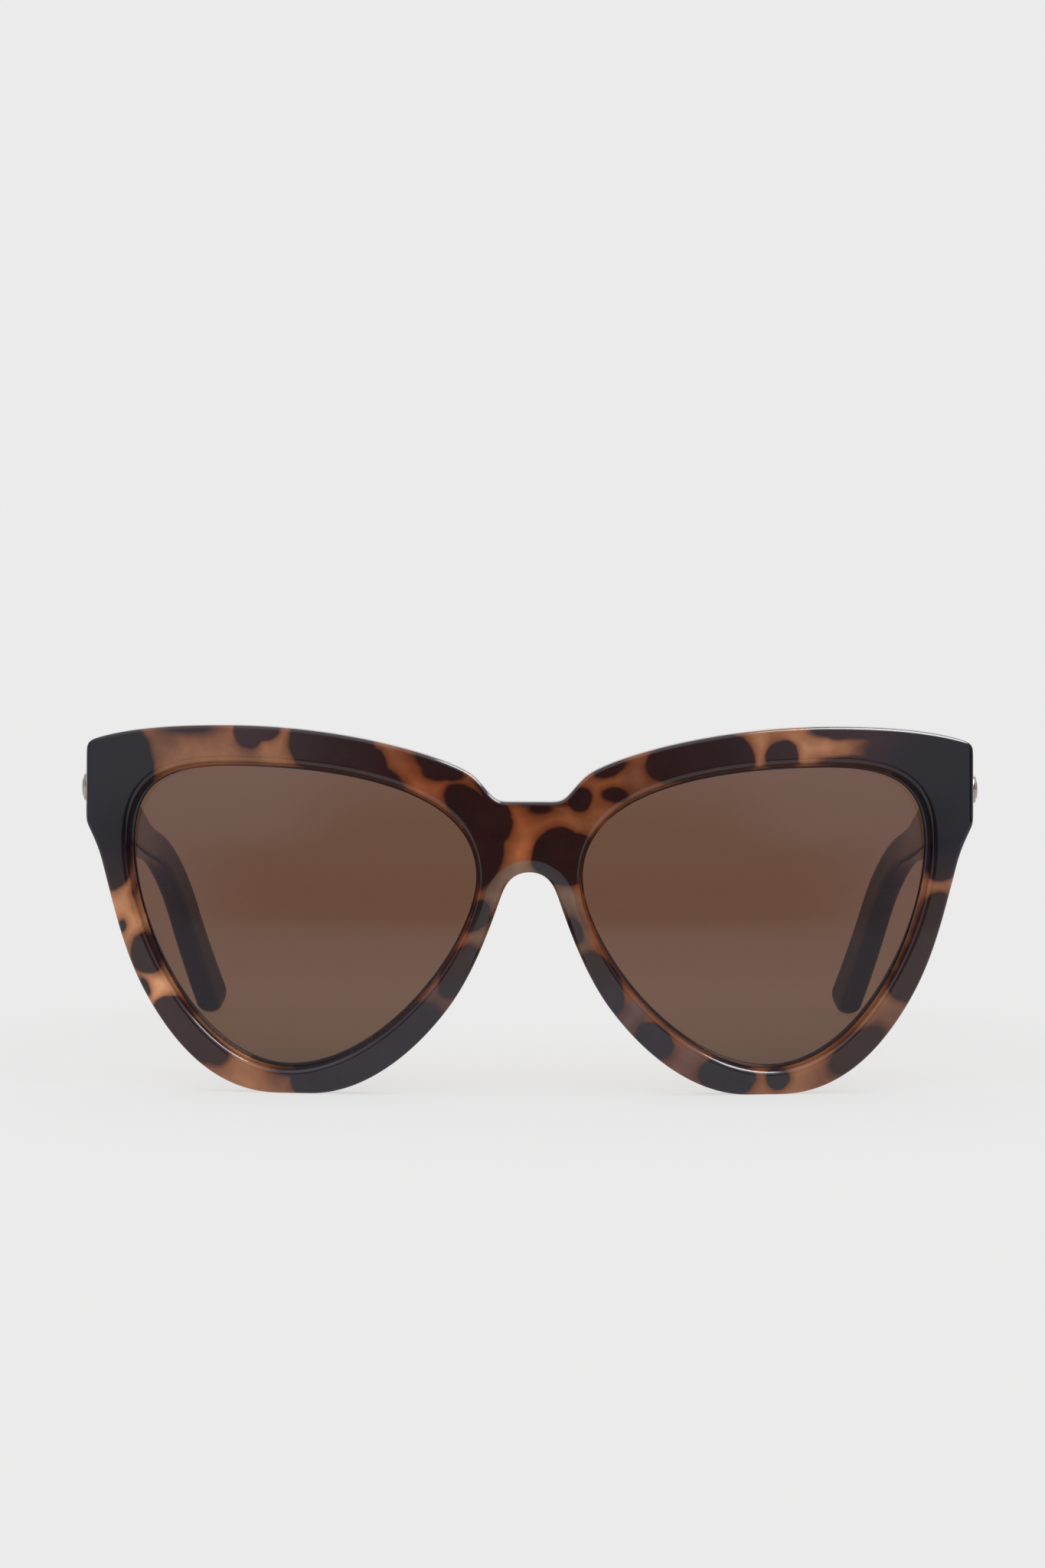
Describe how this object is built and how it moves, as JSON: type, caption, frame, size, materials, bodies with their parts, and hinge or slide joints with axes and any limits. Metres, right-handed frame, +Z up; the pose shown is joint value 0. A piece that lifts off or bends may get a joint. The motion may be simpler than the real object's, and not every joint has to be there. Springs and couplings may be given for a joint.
{
  "type": "cat eye sunglasses",
  "caption": "Upswept cat eye sunglasses with a thick acetate front, curved tinted lenses and flat temples that fold on five-knuckle hinges.",
  "frame": {"origin": "middle of the footprint on the floor, under the glasses as they stand open on both rims and both ear tips", "axes": "+Z up, the front faces -Y, the temples run toward +Y, and +X is the wearer's left"},
  "size_m": [0.15, 0.1497, 0.0605],
  "materials": {
    "tortoise_acetate": "polished tortoise pattern",
    "brown_lens": "brown tint, smooth",
    "hinge_metal": "plain",
    "wire_metal": "drawn wire",
    "stud_metal": "polished"
  },
  "bodies": {
    "front": {"front_frame": "tortoise_acetate", "lens_right": "brown_lens", "lens_left": "brown_lens", "nose_pad_right": "tortoise_acetate", "nose_pad_left": "tortoise_acetate", "front_hinge_right": "hinge_metal", "front_hinge_left": "hinge_metal", "front_rivets_right": "hinge_metal", "front_rivets_left": "hinge_metal", "hinge_screw_right": "hinge_metal", "hinge_screw_left": "hinge_metal"},
    "right_temple": {"temple_right": "tortoise_acetate", "temple_hinge_right": "hinge_metal", "temple_rivets_right": "hinge_metal", "core_wire_right": "wire_metal", "stud_right": "stud_metal"},
    "left_temple": {"temple_left": "tortoise_acetate", "temple_hinge_left": "hinge_metal", "temple_rivets_left": "hinge_metal", "core_wire_left": "wire_metal", "stud_left": "stud_metal"}
  },
  "joints": [
    {"name": "right_temple_fold", "type": "hinge", "parent": "front", "child": "right_temple", "pos_m": [-0.0682, -0.05711, 0.0509], "axis": [0, 0, -1], "range_deg": [0, 81]},
    {"name": "left_temple_fold", "type": "hinge", "parent": "front", "child": "left_temple", "pos_m": [0.0682, -0.05711, 0.0509], "axis": [0, 0, 1], "range_deg": [0, 88]}
  ]
}
